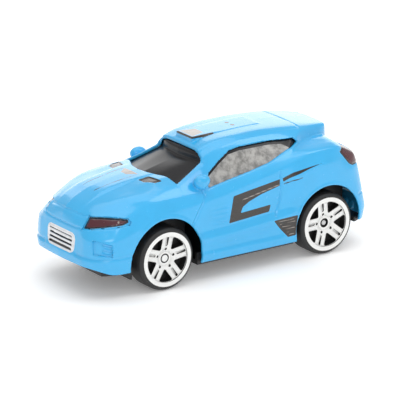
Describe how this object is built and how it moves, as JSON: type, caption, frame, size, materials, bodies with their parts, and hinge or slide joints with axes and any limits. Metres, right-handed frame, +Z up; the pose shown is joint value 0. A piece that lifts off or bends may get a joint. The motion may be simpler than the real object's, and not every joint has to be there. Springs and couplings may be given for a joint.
{
  "type": "pull back car",
  "caption": "Palm-sized toy car with a glossy moulded body shell on a black chassis; rolling the rear wheels backwards winds an enclosed spring motor.",
  "frame": {"origin": "on the ground, at the middle of the car's outline seen from above", "axes": "+Z up, nose towards -Y, the car's left side towards +X"},
  "size_m": [0.045, 0.111, 0.0443],
  "materials": {
    "body_plastic": "glossy moulded ABS, light sky blue",
    "smoke_window": "dark smoke transparent plastic",
    "chassis_plastic": "black moulded ABS, fine matte texture",
    "motor_plastic": "natural off-white moulded plastic",
    "gear_plastic": "natural white acetal",
    "wheel_plastic": "black moulded plastic with a white hot-stamped face",
    "tyre_soft": "soft black PVC, satin",
    "axle_steel": "drawn steel rod",
    "screw_steel": "zinc-plated",
    "spring_steel": "blued spring strip"
  },
  "bodies": {
    "car": {"body_shell": "body_plastic", "window_insert": "smoke_window", "chassis": "chassis_plastic", "chassis_screws": "screw_steel", "clutch_shaft": "axle_steel", "compound_shaft": "axle_steel", "mainspring": "spring_steel", "motor_case": "motor_plastic", "motor_cover": "motor_plastic", "motor_screws": "screw_steel"},
    "front_wheels": {"front_axle": "axle_steel", "front_left_wheel": "wheel_plastic", "front_left_tyre": "tyre_soft", "front_right_wheel": "wheel_plastic", "front_right_tyre": "tyre_soft"},
    "rear_wheels": {"rear_axle": "axle_steel", "axle_pinion": "gear_plastic", "rear_left_wheel": "wheel_plastic", "rear_left_tyre": "tyre_soft", "rear_right_wheel": "wheel_plastic", "rear_right_tyre": "tyre_soft"},
    "clutch": {"clutch_gear": "gear_plastic"},
    "compound": {"compound_gear": "gear_plastic"},
    "spring_drive": {"spring_gear": "gear_plastic", "spring_arbor": "axle_steel"}
  },
  "joints": [
    {"name": "front_axle_spin", "type": "hinge", "parent": "car", "child": "front_wheels", "pos_m": [0, -0.02725, 0.0105], "axis": [1, 0, 0], "continuous": true},
    {"name": "rear_axle_spin", "type": "hinge", "parent": "car", "child": "rear_wheels", "pos_m": [0, 0.03625, 0.0105], "axis": [1, 0, 0], "continuous": true},
    {"name": "clutch_gear_spin", "type": "hinge", "parent": "car", "child": "clutch", "pos_m": [0, 0.03154, 0.0127], "axis": [1, 0, 0], "continuous": true},
    {"name": "compound_gear_spin", "type": "hinge", "parent": "car", "child": "compound", "pos_m": [0, 0.02554, 0.01857], "axis": [1, 0, 0], "continuous": true},
    {"name": "spring_gear_spin", "type": "hinge", "parent": "car", "child": "spring_drive", "pos_m": [0, 0.01865, 0.01376], "axis": [1, 0, 0], "continuous": true}
  ],
  "couplings": [
    {"joint": "clutch_gear_spin", "follows": "rear_axle_spin", "ratio": -0.85714},
    {"joint": "compound_gear_spin", "follows": "rear_axle_spin", "ratio": 0.42857},
    {"joint": "spring_gear_spin", "follows": "rear_axle_spin", "ratio": -0.13393}
  ]
}
